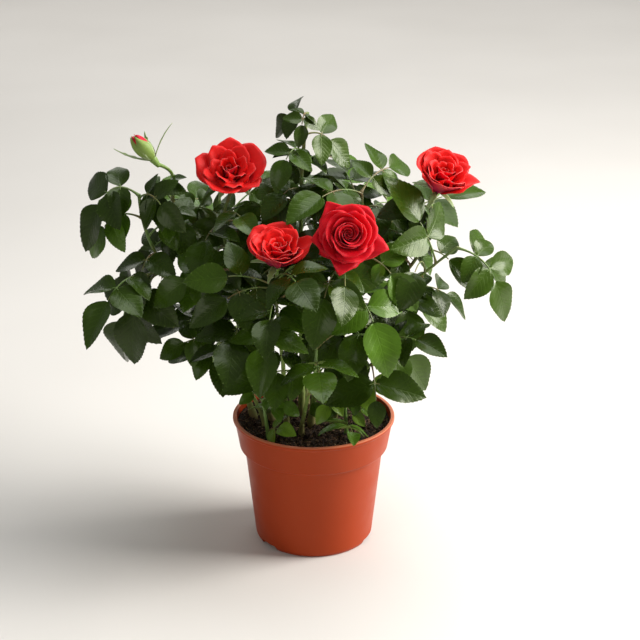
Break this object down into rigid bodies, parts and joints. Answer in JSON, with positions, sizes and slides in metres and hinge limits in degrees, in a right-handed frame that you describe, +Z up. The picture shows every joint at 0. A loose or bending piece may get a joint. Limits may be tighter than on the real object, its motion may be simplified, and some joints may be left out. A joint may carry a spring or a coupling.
{
  "type": "potted miniature rose bush",
  "caption": "Miniature rose bush in flower in a round plastic nursery pot: leafy canes, open double blooms and a bud.",
  "frame": {"origin": "centre of the flat underside of the pot, on the surface it stands on", "axes": "+Z up along the pot's axis; the showing side faces -Y; +X is to the right as seen from that side"},
  "size_m": [0.301, 0.2713, 0.3333],
  "materials": {
    "pot_plastic": "satin",
    "compost": "rough",
    "stem": "satin",
    "leaf": "satin",
    "petal": "satin"
  },
  "bodies": {
    "root": {"pot": "pot_plastic", "soil": "compost", "cane_left": "stem", "cane_bud": "stem", "cane_bloom_left": "stem", "cane_top": "stem", "cane_bloom_front": "stem", "cane_bloom_centre": "stem", "cane_right": "stem", "cane_low_right": "stem", "cane_low_left": "stem", "cane_front": "stem", "cane_back_left": "stem", "cane_back_right": "stem", "cane_back": "stem", "bough_left": "stem", "bough_right_side": "stem", "bough_right_outer": "stem", "bough_centre": "stem", "bough_inner_left": "stem", "bough_back_low": "stem", "bough_back_side": "stem", "bloom_left": "petal", "bloom_front": "petal", "bloom_centre": "petal", "bloom_right": "petal", "flower_bud": "leaf", "leaves_left_low": "leaf", "leaves_right_outer": "leaf", "leaves_low_right": "leaf", "leaves_left": "leaf", "leaves_right": "leaf", "leaves_top": "leaf", "leaves_low_left": "leaf", "leaves_bud": "leaf", "leaves_bloom_front": "leaf", "leaves_bloom_centre": "leaf", "leaves_front": "leaf", "leaves_right_side": "leaf", "leaves_bloom_left": "leaf", "leaves_inner_left": "leaf", "leaves_centre": "leaf", "leaves_back_left": "leaf", "leaves_back_right": "leaf", "leaves_back": "leaf", "leaves_back_low": "leaf", "leaves_back_side": "leaf", "leaves_base_left": "leaf", "leaves_base_right": "leaf"}
  },
  "joints": []
}
